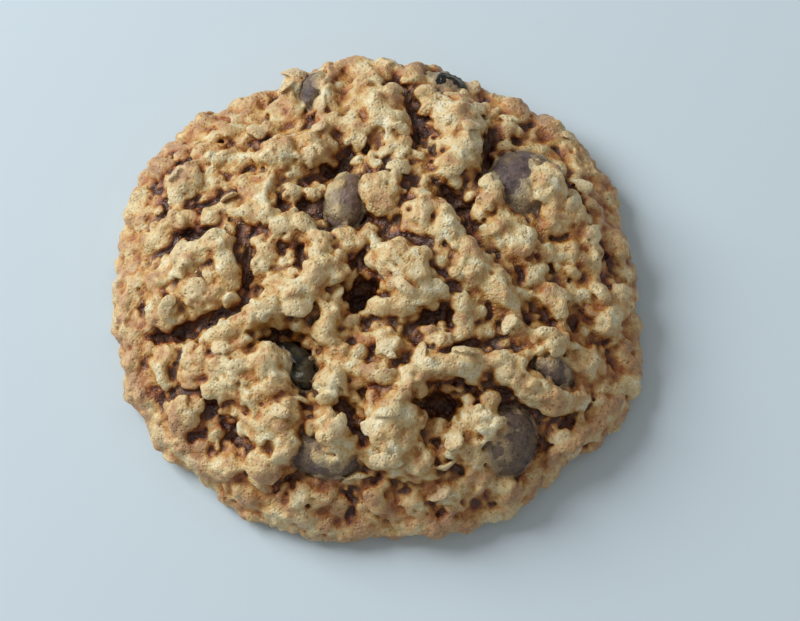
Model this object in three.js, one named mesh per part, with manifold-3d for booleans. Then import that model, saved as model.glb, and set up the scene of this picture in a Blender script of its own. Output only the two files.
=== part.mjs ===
// Oatmeal cookie with chocolate chips and raisins, lying on its flat baked base.
// Millimetres, +Z up, origin on the base under the middle of the footprint.
//
// The dough is one solid: a low dome with a rounded rim, on which crags of
// dough are heaped with hollows and crevices between them, and over which oat
// flakes stand out as small nubs. Every chip and raisin is a solid of its own
// that sits in a pocket of the dough, clear of it by a small gap.
import * as THREE from "three";
import { mergeVertices } from "three/addons/utils/BufferGeometryUtils.js";
import Module from "manifold-3d";

// ---------------------------------------------------------------- main sizes
const CROWN_HEIGHT = 16.4; // height that the tops of the crags reach in the middle
const CROWN_POWER = 3.0; // how flat the crown is before it falls to the rim
const BODY_SINK = 2.9; // how far the plain dough between the crags lies under the crown
const CORE_HEIGHT = 7.4; // the deepest that any hollow can reach, in the middle
const CORE_INSET = 4.2; // and how far inside the rim it stays
const BODY_INSET = 1.6; // and how far inside the rim its sides lie
const RIM_TUCK = 1.5; // how far the rim draws in where it meets the table
const RIM_TUCK_HEIGHT = 3.0; // and the height over which it does so
const RINGS = 38; // rings of the dough's surface, ring k holds 6k points
const BLEND = 0.45; // width of the soft join where two crags meet
const SPREAD_OUT = 1.12; // how much wider than listed each crag is, so that neighbours meet
const GAP = 0.3; // air between the dough and each chip or raisin
const SEED = 20417;

// Radius of the rim round (0, MIDDLE_Y), every 10 degrees from +X towards +Y.
const MIDDLE_Y = 2.0;
const RIM_RADII = [
  42, 42, 42.5, 42.5, 42.5, 41.5, 40.5, 40.5, 40.5, 40.5, 41, 41, 40.5, 42, 43.5,
  44, 43.5, 43, 42.5, 42.5, 42.5, 42, 42, 41, 41, 40.5, 40, 39.5, 40, 41, 41.5,
  41, 42, 43.5, 44.5, 43,
];

// Crags of dough: x, y, length, width, turn of the length from +X in degrees,
// and how far the top stands over (or under) the crown, before PROUDER.
const PROUDER = 1.45; // share by which every crag stands farther out or in than listed
const CRAGS = [
  // north-west quarter
  [-38.6, 14.6, 9, 7, 75, -0.4], [-40, 7.6, 6.5, 5, 82, -0.8], [-30.4, 18.8, 7.8, 7.6, 60, 0.7],
  [-34.6, 22.4, 7, 4.8, 50, -0.8], [-30.6, 27.4, 8, 4.6, 42, -0.9], [-26, 31, 7, 4.6, 38, -0.9],
  [-28.6, 24.6, 5.4, 3.4, 35, 0], [-24.4, 28.4, 5, 3.4, 35, 0], [-20.6, 32.6, 7, 5, 28, -0.3],
  [-26.6, 22.6, 7, 3.2, 28, 0.3], [-21.9, 24.2, 4.4, 2.3, 84, 0.8], [-18.4, 28, 6.4, 3.8, 30, 0.2],
  [-15.4, 32, 6, 4.2, 30, 0], [-24.8, 18, 4.4, 3, 20, -0.8], [-32.6, 11.4, 6.4, 5.4, 10, 0.2],
  [-26.8, 11.8, 5, 4.4, 0, 0.3], [-23.2, 13, 4.4, 2.8, 85, 0.5], [-19, 12.4, 6, 5.4, 90, 0.6],
  [-19.4, 17.6, 5.4, 4.4, 90, 0.4], [-16.6, 16.6, 4.6, 2.6, 85, 0.3], [-14.6, 22.2, 8.4, 6.8, 15, 1],
  [-9.6, 23.6, 6, 5.6, 40, 0.9], [-8, 27.2, 6, 3.8, 10, 0.8], [-18.6, 21.4, 4, 3.6, 0, 0.3],
  [-9.2, 15.6, 3.4, 3.2, 0, 0.2], [-13.4, 14.6, 3, 3, 0, 0.2], [-13.4, 18.2, 5, 3, 10, -0.8],
  [-36.4, 9.6, 4.6, 3.8, 60, -0.3],
  // north
  [-3, 39.4, 7, 5, 10, 1.7], [1.6, 38.6, 6, 4.6, -10, 1.7], [5.8, 37.6, 5, 4.4, 0, 1.3],
  [-2, 35.2, 5.4, 4, 20, 1.2], [0.8, 31.6, 7.4, 6.4, 0, 1.5], [1, 27.8, 7.6, 7, 30, 1.3],
  [-4, 26.6, 4.4, 4, 0, 0.6], [-3.6, 31.6, 3.6, 3.6, 0, 0.8], [-7.4, 38, 5, 5, 0, 1.5],
  [-7.6, 33.4, 3.6, 6.4, 0, 1.1], [-13.4, 36, 4.6, 7.4, 0, 1.2], [-12.8, 31, 5, 3.6, 30, 0.7],
  [8.2, 33.4, 3.8, 4, 0, 0.9], [8.6, 40, 5, 3, -5, 1], [15, 37.4, 4, 4, -20, 0.5], [13.8, 34.2, 5, 3.6, -20, 0.5],
  [-1.4, 22, 4.4, 3, 40, 0.3], [1.6, 23.6, 4, 3.2, 40, 0.5], [4.4, 22.4, 5.4, 2.6, 88, 0.5],
  [7.2, 21.6, 3.6, 4.6, 0, -0.4], [7.6, 16.8, 3.8, 4.6, 0, 0], [9.6, 19, 3, 2.8, 0, -0.2],
  [1.2, 15.4, 9.6, 7.2, 98, 1.2], [3.9, 17.6, 4.4, 1.9, 95, 1.7], [14.4, 16.2, 4, 3.4, 0, -0.6],
  // north-east quarter
  [12.8, 28.6, 9.8, 8.6, -10, 1.6], [13.6, 23.4, 8.6, 8, 90, 1.4], [11.4, 20.4, 4.4, 5, 0, 0.9],
  [10, 31.4, 6, 4, 10, 1], [17.6, 32.4, 7, 4.8, -25, -0.2], [22, 29, 7, 5, -35, -0.4],
  [21.6, 33.6, 7, 4.6, -30, -1], [27.4, 31.2, 6.4, 4.6, -42, -0.8], [30.4, 27.6, 6.6, 3.8, -42, 0],
  [33.6, 26, 7, 4.4, -50, -0.9], [32.6, 23.6, 5.4, 3.8, -50, -0.1], [36.4, 20.6, 7, 4.6, -62, -0.8],
  [39.2, 13.4, 7.6, 4.8, -76, -0.8], [33.2, 18, 6.6, 5.6, -65, 0.3], [31.2, 12.6, 7, 6.4, -40, 0.4],
  [35.6, 12.6, 6, 4.4, -70, 0.1], [26.8, 11, 4.6, 3.6, 0, 0], [18.3, 15.2, 8, 3.6, 76, 0.9],
  [21, 11.8, 5.4, 3.2, -20, 0.4], [26.8, 16.6, 9.6, 7.6, -55, 1.7], [29.4, 21, 4.4, 3, -55, 0],
  // middle
  [5.2, 1.6, 13.4, 9.6, -46, 2.6], [2.6, 4.6, 5.6, 5.6, 0, 1.6],
  [7.6, 11.2, 9, 6.4, 20, 1.5], [10.6, 12.4, 4.6, 4.2, 0, 1.3], [14.8, 3, 20, 11, -50, 1.5],
  [10.6, 8, 8, 7.4, -50, 1.7], [22, -6.4, 6, 5, -50, 0.4], [13.6, -3.2, 7, 5, -20, 0.7],
  [-7.8, 2.4, 7, 6.6, 30, 1.4], [-8.6, 6.6, 4.6, 4.2, 0, 1.2], [-4.4, 6.2, 4.6, 3.8, 80, 0.9],
  [-0.8, 7.4, 3.2, 3, 0, 0.9], [-5, 1.6, 3.4, 3.4, 0, 0.9], [-12, 10.6, 5.4, 2.8, 10, 1],
  [-15, 8.6, 4, 2.8, 60, 0.8], [-12.2, 7.8, 4.2, 1.9, 45, 0.3], [-16.6, 5.6, 3.6, 3, 20, 0.5],
  [-18, 4, 7.6, 2.5, 92, 0.5], [-13.6, 2.8, 5, 3.6, 10, 0.1], [-13, -1.6, 7.6, 5.6, 18, 1.4],
  [-9.4, -1.4, 4, 3.6, 20, 1], [-18.4, -5, 7.6, 5.2, 10, 1.1], [-15.4, -3.8, 5, 4.4, 0, 1],
  [-22.6, -8, 8.4, 4.4, 36, 0.9], [-6.8, -4, 4.6, 3.2, 80, 0.5], [-7.2, -7.8, 4.2, 3.6, 0, 0.5],
  [-6.6, -10.8, 3.4, 3, 0, 0.2], [1.6, -3.9, 8.6, 2.6, -6, 1.1], [-1.8, -3, 3, 2.4, 0, 0.4],
  [1.8, -9.4, 4.8, 5.6, 0, 0.4], [4.6, -7.4, 3, 3, 0, -0.4], [9.4, -8.4, 4.4, 6, 0, 0.4],
  [13.4, -7.6, 5, 4.4, 0, 0.2], [17.6, -7.6, 4.4, 4, 0, -0.2], [-10.4, -10.4, 4.2, 2.8, 85, 0.6],
  [-3.8, -6.4, 3.6, 3, 0, -0.9], [-2.4, -9.2, 3.2, 2.8, 0, -1], [-3.2, -11.6, 3.6, 3, 0, -0.6], [5.6, -11.4, 3.6, 3, 0, -0.2],
  // east
  [18.6, 8.8, 4.8, 4.4, 60, 0.6], [22.6, 6.8, 6.2, 4.8, 30, 0.8], [24.8, 2.2, 3.4, 3, 0, 0.1],
  [24.4, -1.4, 3.6, 3, 80, 0], [27.4, -1.6, 5.6, 3.4, -65, 0.4], [26.6, 5.8, 3.4, 3.4, 0, -0.2],
  [29.9, 3.6, 3.6, 3.4, 0, 0.3], [30.4, 7.2, 3.8, 3.6, 0, 0.4], [34, 9, 4.4, 3.6, 0, 0.2],
  [34.4, 5.2, 5, 4.4, -70, 0.3], [31.6, 0, 4, 2.8, 20, 0], [35.4, 1.2, 4.6, 3.8, 0, 0],
  [37.4, -3.6, 9, 7, 82, 0.2], [39.8, 5.2, 6, 4, 88, -0.8], [27, -8, 7.4, 5.8, 80, 0.9],
  [21, -12, 4.6, 3.4, -10, 0.7], [33, -12.2, 7.4, 5.8, 75, -0.2], [40, -9.6, 6, 4, 78, -0.9],
  // west
  [-29, 4.4, 8.8, 6.4, 12, 1], [-24.4, 6.6, 6, 4.6, 10, 0.9], [-23.4, 2.6, 6, 5.6, 0, 0.5],
  [-28.4, -0.6, 7, 5, 10, 0.4], [-24.6, -1.6, 5, 4.4, 0, 0.3], [-34.6, 2, 5, 4.4, 0, -0.1],
  [-38.4, 2.6, 5.4, 4.4, 82, -0.5], [-40.6, -2, 5.4, 3.8, 88, -1], [-36.4, -2, 5.4, 4.2, 20, -0.3],
  [-32.6, -2.8, 4.6, 4.2, 0, -0.1], [-34.4, -4.6, 4, 3, 0, -0.2], [-38, -7, 5.4, 4.6, 80, -0.6],
  [-26.6, -7.6, 3.8, 3.2, 0, -1.4], [-31.4, -8.6, 2.8, 2.6, 0, -1.2], [-34.6, -8.6, 3.6, 3.4, 0, -0.9],
  // south-west quarter
  [-22, -12.4, 7.4, 6, 10, 1.1], [-17, -12.4, 7.4, 6.4, -15, 1.3], [-28.8, -12.4, 6, 3, 85, 0.4],
  [-26.2, -12.6, 4, 2.2, 85, 0.2], [-33.2, -12.4, 4.6, 3, 88, 0], [-37.4, -11.8, 6, 4.4, 75, -0.7],
  [-35.6, -17, 5.4, 4, 62, -0.7], [-30, -19, 7.6, 7.2, 40, 0.3], [-24.9, -20.6, 3.2, 3, 0, 0],
  [-23.8, -16.4, 6.2, 3.8, 5, 0.2], [-19, -17.6, 5.6, 5.4, 0, 0.9], [-15, -16.6, 6, 5, 60, 0.9],
  [-18.6, -22.4, 4, 3.4, 0, 0.2], [-32.4, -24, 5.4, 4, 45, -0.8], [-28, -25.6, 4.6, 3.4, 20, -0.5],
  [-24.2, -24.6, 4, 3, 0, -1.2], [-27, -29, 6, 4, 40, -0.9], [-21.8, -27.2, 9.4, 3.2, 35, 0.5],
  [-16.6, -27.6, 6.8, 5.6, 10, 0.5], [-22, -31.6, 7, 4.4, 25, -0.8], [-16.6, -32.6, 6.4, 4.4, 10, -0.6],
  // south
  [-14.4, -21.6, 7, 7.6, 0, 1.2], [-13.6, -25.2, 6, 4.4, -30, 0.9], [-6.4, -23.2, 6.4, 8, 0, 1.5],
  [-6.4, -26.6, 6.4, 4.4, 0, 1], [-6.2, -15.6, 5.6, 6.4, 0, 0.6], [-7, -18, 3, 4, 0, 0.6],
  [-3.4, -14, 3, 4, 0, 0.3], [-1, -19.4, 3, 3, 0, 0.4], [1.2, -14.4, 5.8, 3.8, 10, 0.5],
  [2.4, -22.8, 8, 11, 0, 1.7], [1.4, -27, 6.4, 4.6, -10, 0.9], [2.4, -18.4, 5, 4, 50, 1.5],
  [5.4, -15.6, 6.4, 4.2, 44, 1.6], [9.8, -13, 6.4, 4.4, 22, 1.6], [14, -12.4, 5.4, 4.6, 0, 1.4],
  [18, -12.8, 5, 4.6, -10, 1.2], [6.8, -20.6, 4, 4.6, 0, 0.3], [12.6, -21, 5, 4.4, 0, 0.4],
  [16.6, -17.6, 2.2, 4.2, 0, 0.6], [12.4, -26, 6, 4.6, 10, 0.2], [7.2, -27.8, 5.2, 2.4, 20, 0.6],
  [-8, -32.6, 4.6, 3.6, 0, 0], [-12.4, -32.4, 4.6, 3.8, 0, -0.2], [-3.8, -30.6, 4.8, 2.4, -5, 0.2],
  [0, -33, 7.4, 4.4, -38, 0.1], [5.4, -34.2, 5.4, 4.8, 0, -0.1], [10.4, -32.6, 5, 4, 0, -0.3],
  [15.6, -31.4, 6.4, 3, 10, 0],
  // south-east quarter
  [25, -16.6, 11, 5.8, -26, 1.1], [21.6, -14.6, 4.6, 4, 0, 1.1], [17.4, -21.8, 6, 6, 0, 1.2],
  [16.6, -26.4, 4, 3.4, 0, 0.5], [31.6, -16.8, 4.4, 4.4, 0, -0.1], [35.6, -16, 6, 4.4, 72, -0.6],
  [38.8, -13.4, 7, 5, 75, -0.8], [33, -22.4, 8.4, 6.4, 60, -0.4], [28.4, -23.4, 4.4, 3, 60, -0.8],
  [28, -28, 6.4, 4.8, 50, -0.7], [24, -31, 6, 4.4, 38, -0.9], [20.4, -32, 6.4, 4.4, 25, -0.6],
  [16.4, -29.6, 6, 3, 5, -0.2],
];

const RIM_CRAGS = 52; // crags in each of the rim's two rows
const RIM_UNEVEN = 0.9; // how much they stand in and out

// Hollows and crevices: from x, y to x, y, width, depth under the crown.
const HOLLOWS = [
  [-31.6, 8.8, -27.6, 9.4, 3, 5], [-34.8, 5.8, -33.4, 7, 2, 3.6], [-31.4, 14.6, -23, 15.4, 1.6, 3.6],
  [-25.6, 26, -24, 25, 1.6, 2.8], [-20.4, 24.8, -17.4, 25.4, 1.8, 4.4], [-19.6, 17.6, -19, 17.2, 1.6, 2.6],
  [-21.4, 9.2, -16.8, 9.4, 1.6, 4.4], [-20.2, 8, -20.1, 0.6, 1.6, 4.6], [-22, 19.6, -18.6, 19.4, 1.6, 3.4],
  [0.4, 25, -4.8, 21, 2.2, 6.2], [-4.8, 21, -9.4, 18.6, 2.6, 5.8], [5.6, 31, 5.9, 25.4, 1.8, 5],
  [5.3, 19.4, 5.5, 14.8, 1.8, 5.4], [-11, 13, -9.6, 12.2, 2.6, 5.2], [2.4, 10, 1, 9.6, 2, 4.6],
  [18.2, 26.6, 17.6, 20.6, 2.4, 6], [18.4, 26.4, 22.4, 26.2, 1.8, 5], [11.2, 15, 13.6, 12.8, 3.2, 6.4],
  [12.8, 11.6, 15.4, 7.2, 2.2, 4.6], [15.4, 7.2, 18.6, 4.3, 1.8, 4], [18.6, 4.3, 21.8, 1.6, 1.6, 3.6],
  [21.8, 1.6, 24, -4.4, 1.6, 3.6], [20.4, 13.6, 25.4, 10.2, 1.4, 3.2], [29.8, 18.6, 31.4, 17.2, 1.8, 4.2],
  [28.6, 25.6, 30, 24, 1.8, 3.4], [-15.8, -8, -11, -9.4, 3.6, 7.4], [-3.4, -1.8, -1.4, 0, 4.4, 6.6],
  [-5.2, 3.8, -3, 2.8, 1.2, 4], [7.6, -5.6, 10.8, -5, 2.2, 5.6], [-3.4, -21.4, -4.6, -19.2, 3.4, 7],
  [8, -18.4, 11, -18.6, 3.8, 6.2], [24, -4.8, 26.6, -5.6, 2.6, 5.4], [30.7, -2, 30.4, -6.4, 1.8, 5],
  [27, 3.2, 28.4, 2.4, 2, 4.8], [33.2, -7.2, 36.6, -8, 2.2, 4.6], [36.6, -8, 37.4, -12, 2, 4],
  [28.6, 7.8, 30.8, 9.4, 1.2, 3.4], [32.4, 7, 31.9, 3, 1.4, 4], [-34.4, -6.4, -28.6, -6, 3, 6.6],
  [-27, -4.8, -21.8, -3.4, 2.4, 6], [-25.6, -17.8, -21.6, -22, 2.8, 5.8], [-21.6, -22, -19.8, -25.6, 2.6, 5.8],
  [5.6, -30.6, -2, -30.4, 2.2, 4.6], [-8.6, -30.8, -2, -30.2, 1.6, 4], [-3.9, -33.4, -3.7, -32.2, 2.2, 5],
  [-12.8, -28.6, -12.4, -28.2, 2.4, 4.6], [-9.7, -25, -9.5, -22.6, 1.1, 4], [14.4, -33.4, 16.4, -33.4, 1.4, 3.6],
  [20.6, -18.4, 25.4, -20, 1.6, 5], [25.4, -20, 28, -21.4, 1.6, 4.4], [30.4, -25.6, 31, -25.2, 1.8, 3.2],
  [-11, -17.6, -9.8, -12, 1.8, 5.4], [-0.6, -16.8, 4, -16.6, 1.4, 4.6], [10, -10.6, 20.4, -9.8, 1.6, 4.4],
  [30.8, -13, 30.8, -15, 1.4, 4],
];

const HOLLOW_DEEPER = 1.4; // share by which every hollow goes deeper than listed

// Chips and raisins: x, y, length, width, thickness, turn in degrees, and how
// far the top stands over (or under) the crown.
const CHIPS = {
  chocolate_chip_north_east: [24, 18.6, 12.2, 11.2, 6.6, 60, 0.5],
  chocolate_chip_south_east: [21, -24.6, 10.8, 9.6, 7, 75, 0.7],
  chocolate_chip_north: [-4.8, 14, 9.8, 6.4, 6, 80, 0.4],
  chocolate_chip_north_west: [-10.2, 35.2, 9, 5, 5, 84, 1.3],
  chocolate_chip_east: [27.6, -13.2, 6.6, 4.4, 4.6, -32, 0.4],
  chocolate_chip_south: [-8.2, -27, 11.6, 6.4, 5.6, -14, 0],
};
const RAISINS = {
  raisin_west: [-12.8, -12.8, 9, 5.8, 5, -48, -1],
  raisin_north: [11, 37.2, 7.6, 5.6, 5, -10, 1.2],
};
const RAISIN_FURROW = 0.45; // depth of a raisin's wrinkles

// Oat flakes and knobs of dough strewn over all of it.
const NUBS = 70;
const NUB_SIZE = [2.2, 3.6]; // smallest and largest, across
const NUB_PROUD = 0.4; // share of its half height that a nub stands out

// How the dough's lumps are bent out of true: size of the bend, and the length
// over which it swings to and fro.
const BENDS = [
  [0.6, 7.5],
  [0.4, 4.1],
];
const BEND_ENDS = 43; // the bends fade towards this distance from the middle,
const BEND_FADE = 8; // over this width,
const BEND_LEFT = 0.4; // to this share

// ------------------------------------------------------------------- helpers
const TAU = Math.PI * 2;
const clamp = (v, lo, hi) => Math.min(hi, Math.max(lo, v));

// Seeded random numbers from 0 to 1.
let state = SEED;
function random() {
  state = (state + 0x6d2b79f5) | 0;
  let t = Math.imul(state ^ (state >>> 15), 1 | state);
  t = (t + Math.imul(t ^ (t >>> 7), 61 | t)) ^ t;
  return ((t ^ (t >>> 14)) >>> 0) / 4294967296;
}

// Smallest of two distances with a soft join, and its opposite for a cut.
function join(a, b, width) {
  const h = Math.max(width - Math.abs(a - b), 0) / width;
  return Math.min(a, b) - (h * h * width) / 4;
}
const cut = (a, b, width) => -join(-a, b, width);

// Radius of the rim in a direction, smooth through the listed radii.
function rimRadius(angle) {
  const n = RIM_RADII.length;
  const u = ((angle / TAU) * n + 2 * n) % n;
  const i = Math.floor(u);
  const t = u - i;
  const [a, b, c, d] = [-1, 0, 1, 2].map((k) => RIM_RADII[(i + k + n) % n]);
  return b + 0.5 * t * (c - a + t * (2 * a - 5 * b + 4 * c - d + t * (3 * (b - c) + d - a)));
}

// Share of the way from the middle to the rim.
function rimShare(x, y, inset) {
  const angle = Math.atan2(y - MIDDLE_Y, x);
  return Math.hypot(x, y - MIDDLE_Y) / (rimRadius(angle) - inset);
}

// Height of a dome over the cookie's outline.
function domeHeight(x, y, height, inset) {
  const share = Math.min(rimShare(x, y, inset), 1);
  return height * Math.sqrt(1 - share ** CROWN_POWER);
}

// Point on the crown over x, y, and the direction straight out of it there.
function crownFrame(x, y) {
  const share = rimShare(x, y, 0);
  const k = share > 0.985 ? 0.985 / share : 1; // keeps crags of the rim over the table
  const px = x * k;
  const py = MIDDLE_Y + (y - MIDDLE_Y) * k;
  const e = 0.5;
  const height = (a, b) => domeHeight(a, b, CROWN_HEIGHT, 0);
  const normal = new THREE.Vector3(
    (height(px - e, py) - height(px + e, py)) / (2 * e),
    (height(px, py - e) - height(px, py + e)) / (2 * e),
    1,
  ).normalize();
  return { point: new THREE.Vector3(px, py, height(px, py)), normal };
}

// Ellipsoid lying on a frame: half sizes, with its own three directions.
function lump(point, normal, length, width, depth, turn, top) {
  const along = new THREE.Vector3(Math.cos(turn), Math.sin(turn), 0);
  along.addScaledVector(normal, -along.dot(normal)).normalize();
  const across = new THREE.Vector3().crossVectors(normal, along);
  const centre = point.clone().addScaledVector(normal, top - depth);
  return {
    c: centre.toArray(),
    u: along.toArray(),
    v: across.toArray(),
    n: normal.toArray(),
    r: [length / 2, width / 2, depth],
    reach: Math.max(length / 2, width / 2, depth),
  };
}

// Where a point of the bent dough lies in the straight one.
function unbend(x, y, z) {
  let [a, b, c] = [x, y, z];
  const much = clamp((BEND_ENDS - Math.hypot(x, y - MIDDLE_Y)) / BEND_FADE, BEND_LEFT, 1);
  for (const [full, swing] of BENDS) {
    const size = full * much;
    const k = TAU / swing;
    const [p, q, r] = [a, b, c];
    a += size * Math.sin(k * q + 1.3 * Math.sin(0.6 * k * r + 0.4)) * 0.8;
    b += size * Math.sin(k * r + 1.7 * Math.sin(0.7 * k * p + 1.1)) * 0.8;
    c += size * Math.sin(k * p + 1.1 * Math.sin(0.8 * k * q + 2.3)) * 0.5;
  }
  return [a, b, c];
}

// Signed distance from a point to a lump, near enough for finding the surface.
function lumpDistance(l, x, y, z) {
  const dx = x - l.c[0];
  const dy = y - l.c[1];
  const dz = z - l.c[2];
  const a = (dx * l.u[0] + dy * l.u[1] + dz * l.u[2]) / l.r[0];
  const b = (dx * l.v[0] + dy * l.v[1] + dz * l.v[2]) / l.r[1];
  const c = (dx * l.n[0] + dy * l.n[1] + dz * l.n[2]) / l.r[2];
  const k0 = Math.hypot(a, b, c);
  const k1 = Math.hypot(a / l.r[0], b / l.r[1], c / l.r[2]);
  return k1 > 1e-9 ? (k0 * (k0 - 1)) / k1 : -l.reach;
}

// Signed distance to the plain body: the crown sunk, drawn in at the table.
function bodyDistance(x, y, z) {
  const tuck = RIM_TUCK * clamp(1 - z / RIM_TUCK_HEIGHT, 0, 1) ** 2;
  const radius = rimRadius(Math.atan2(y - MIDDLE_Y, x)) - BODY_INSET - tuck;
  const height = CROWN_HEIGHT - BODY_SINK;
  const share = Math.hypot(x, y - MIDDLE_Y) / radius;
  const up = Math.max(z, 0) / height;
  const f = share ** CROWN_POWER + up * up - 1;
  const slope = Math.hypot((CROWN_POWER * share ** (CROWN_POWER - 1)) / radius, (2 * up) / height);
  return f / Math.max(slope, 0.02);
}

// Signed distance to a hollow: a long bowl sunk from the crown.
function hollowDistance(h, x, y, z) {
  const t = clamp(((x - h.x) * h.dx + (y - h.y) * h.dy) / Math.max(h.dx ** 2 + h.dy ** 2, 1e-6), 0, 1);
  const across = Math.hypot(x - h.x - t * h.dx, y - h.y - t * h.dy) / (h.width / 2);
  const down = (z - h.top) / h.depth;
  return (Math.hypot(across, Math.min(down, 0)) - 1) * (h.width / 2);
}

const crags = CRAGS.map(([x, y, length, width, turn, top]) => {
  const { point, normal } = crownFrame(x, y);
  const depth = 0.5 * Math.min(length, width) + 1.8;
  return lump(point, normal, length * SPREAD_OUT, width * SPREAD_OUT, depth, (turn * TAU) / 360, top * PROUDER);
});
// The rim is a ring of small crags in two rows, one over the other.
for (let i = 0; i < 2 * RIM_CRAGS; i++) {
  const upper = i % 2;
  const angle = ((i / 2 + 0.3 * (random() - 0.5)) / RIM_CRAGS) * TAU;
  const radius = rimRadius(angle) - (upper ? 1.5 : 0.1) + RIM_UNEVEN * (random() - 0.5);
  const height = upper ? 4.4 + 3.4 * random() : 2.3 + random();
  const out = new THREE.Vector3(Math.cos(angle), Math.sin(angle), upper ? 0.8 : 0.15).normalize();
  const point = new THREE.Vector3(radius * Math.cos(angle), MIDDLE_Y + radius * Math.sin(angle), height);
  const length = 4.6 + 3 * random();
  crags.push(lump(point, out, length, 3.4 + 1.4 * random(), 3, angle + TAU / 4, 0));
}
const hollows = HOLLOWS.map(([x, y, x2, y2, width, depth]) => ({
  x, y, dx: x2 - x, dy: y2 - y, width: width * 1.15, depth: depth * HOLLOW_DEEPER,
  top: domeHeight((x + x2) / 2, (y + y2) / 2, CROWN_HEIGHT, 0) + 1,
}));

// Distance to the dough, from the lumps that are near enough to matter.
function doughDistance(near, cuts, x, y, z) {
  let d = bodyDistance(x, y, z);
  const [a, b, c] = unbend(x, y, z);
  for (const l of near) d = join(d, lumpDistance(l, a, b, c), BLEND);
  for (const h of cuts) d = cut(d, hollowDistance(h, x, y, z), BLEND);
  return d;
}

// ---------------------------------------------------------- the dough's core
// A dome inside the dough; each point of the surface lies straight out from it.
const CORE_STEPS = 400;
const core = [];
for (let i = 0, run = 0; i <= CORE_STEPS; i++) {
  // share of the core's radius, and height, from the middle to the table
  const a = (i / CORE_STEPS) * (TAU / 4);
  const share = Math.sin(a) ** 0.9;
  const z = CORE_HEIGHT * Math.cos(a) ** 0.8;
  if (i) run += Math.hypot((share - core[i - 1].share) * 42, z - core[i - 1].z);
  core.push({ share, z, run });
}
const CORE_RUN = core[CORE_STEPS].run;

function corePoint(way, angle) {
  const want = way * CORE_RUN;
  let i = 1;
  while (i < CORE_STEPS && core[i].run < want) i++;
  const [p, q] = [core[i - 1], core[i]];
  const t = clamp((want - p.run) / (q.run - p.run), 0, 1);
  const share = p.share + t * (q.share - p.share);
  const radius = share * (rimRadius(angle) - CORE_INSET);
  const z = way >= 1 ? 0 : p.z + t * (q.z - p.z);
  return new THREE.Vector3(radius * Math.cos(angle), MIDDLE_Y + radius * Math.sin(angle), z);
}

// Direction out of the core: level at the table, straight up in the middle.
function coreNormal(way, angle) {
  const lean = way >= 1 ? 1 : clamp((way - 0.35) / 0.65, 0, 1) ** 1.7;
  const a = lean * (TAU / 4);
  return new THREE.Vector3(Math.sin(a) * Math.cos(angle), Math.sin(a) * Math.sin(angle), Math.cos(a));
}

const hollowsNear = (x, y, reach) =>
  hollows.filter((h) => Math.hypot(h.x + h.dx / 2 - x, h.y + h.dy / 2 - y) < Math.hypot(h.dx, h.dy) / 2 + h.width + reach);

const REACH = 13; // the farthest that any crag stands out from the core
function surfacePoint(way, angle, lumps) {
  const p = corePoint(way, angle);
  const n = coreNormal(way, angle);
  const mid = p.clone().addScaledVector(n, REACH / 2);
  const near = lumps.filter((l) => {
    const dx = l.c[0] - p.x, dy = l.c[1] - p.y, dz = l.c[2] - p.z;
    const t = clamp(dx * n.x + dy * n.y + dz * n.z, 0, REACH);
    return Math.hypot(dx - t * n.x, dy - t * n.y, dz - t * n.z) < l.reach + BLEND + 1.4;
  });
  const cuts = hollowsNear(mid.x, mid.y, REACH / 2);
  const at = (t) => doughDistance(near, cuts, p.x + n.x * t, p.y + n.y * t, p.z + n.z * t);
  let t = REACH;
  let last = t;
  while (t > 0) {
    const d = at(t);
    if (d < 0.01) break;
    last = t;
    t -= clamp(d * 0.7, 0.06, 2);
  }
  if (t <= 0) return { point: p, normal: n };
  for (let i = 0, lo = t, hi = last; i < 12; i++) {
    t = (lo + hi) / 2;
    if (at(t) < 0) lo = t;
    else hi = t;
  }
  return { point: p.clone().addScaledVector(n, t), normal: n };
}

// Nubs sit where the crags' own surface is.
const nubs = [];
for (let i = 0; i < NUBS; i++) {
  const way = Math.sqrt((i + 0.5) / NUBS) * 0.97;
  const angle = i * TAU * 0.618034 + random() * 0.5;
  const { point, normal } = surfacePoint(way, angle % TAU, crags);
  const size = NUB_SIZE[0] + (NUB_SIZE[1] - NUB_SIZE[0]) * random() ** 2;
  const slim = 0.6 + 0.4 * random();
  const depth = size * (0.32 + 0.18 * random());
  nubs.push(lump(point, normal, size, size * slim, depth, random() * TAU, depth * NUB_PROUD));
}
const allLumps = crags.concat(nubs);

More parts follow.
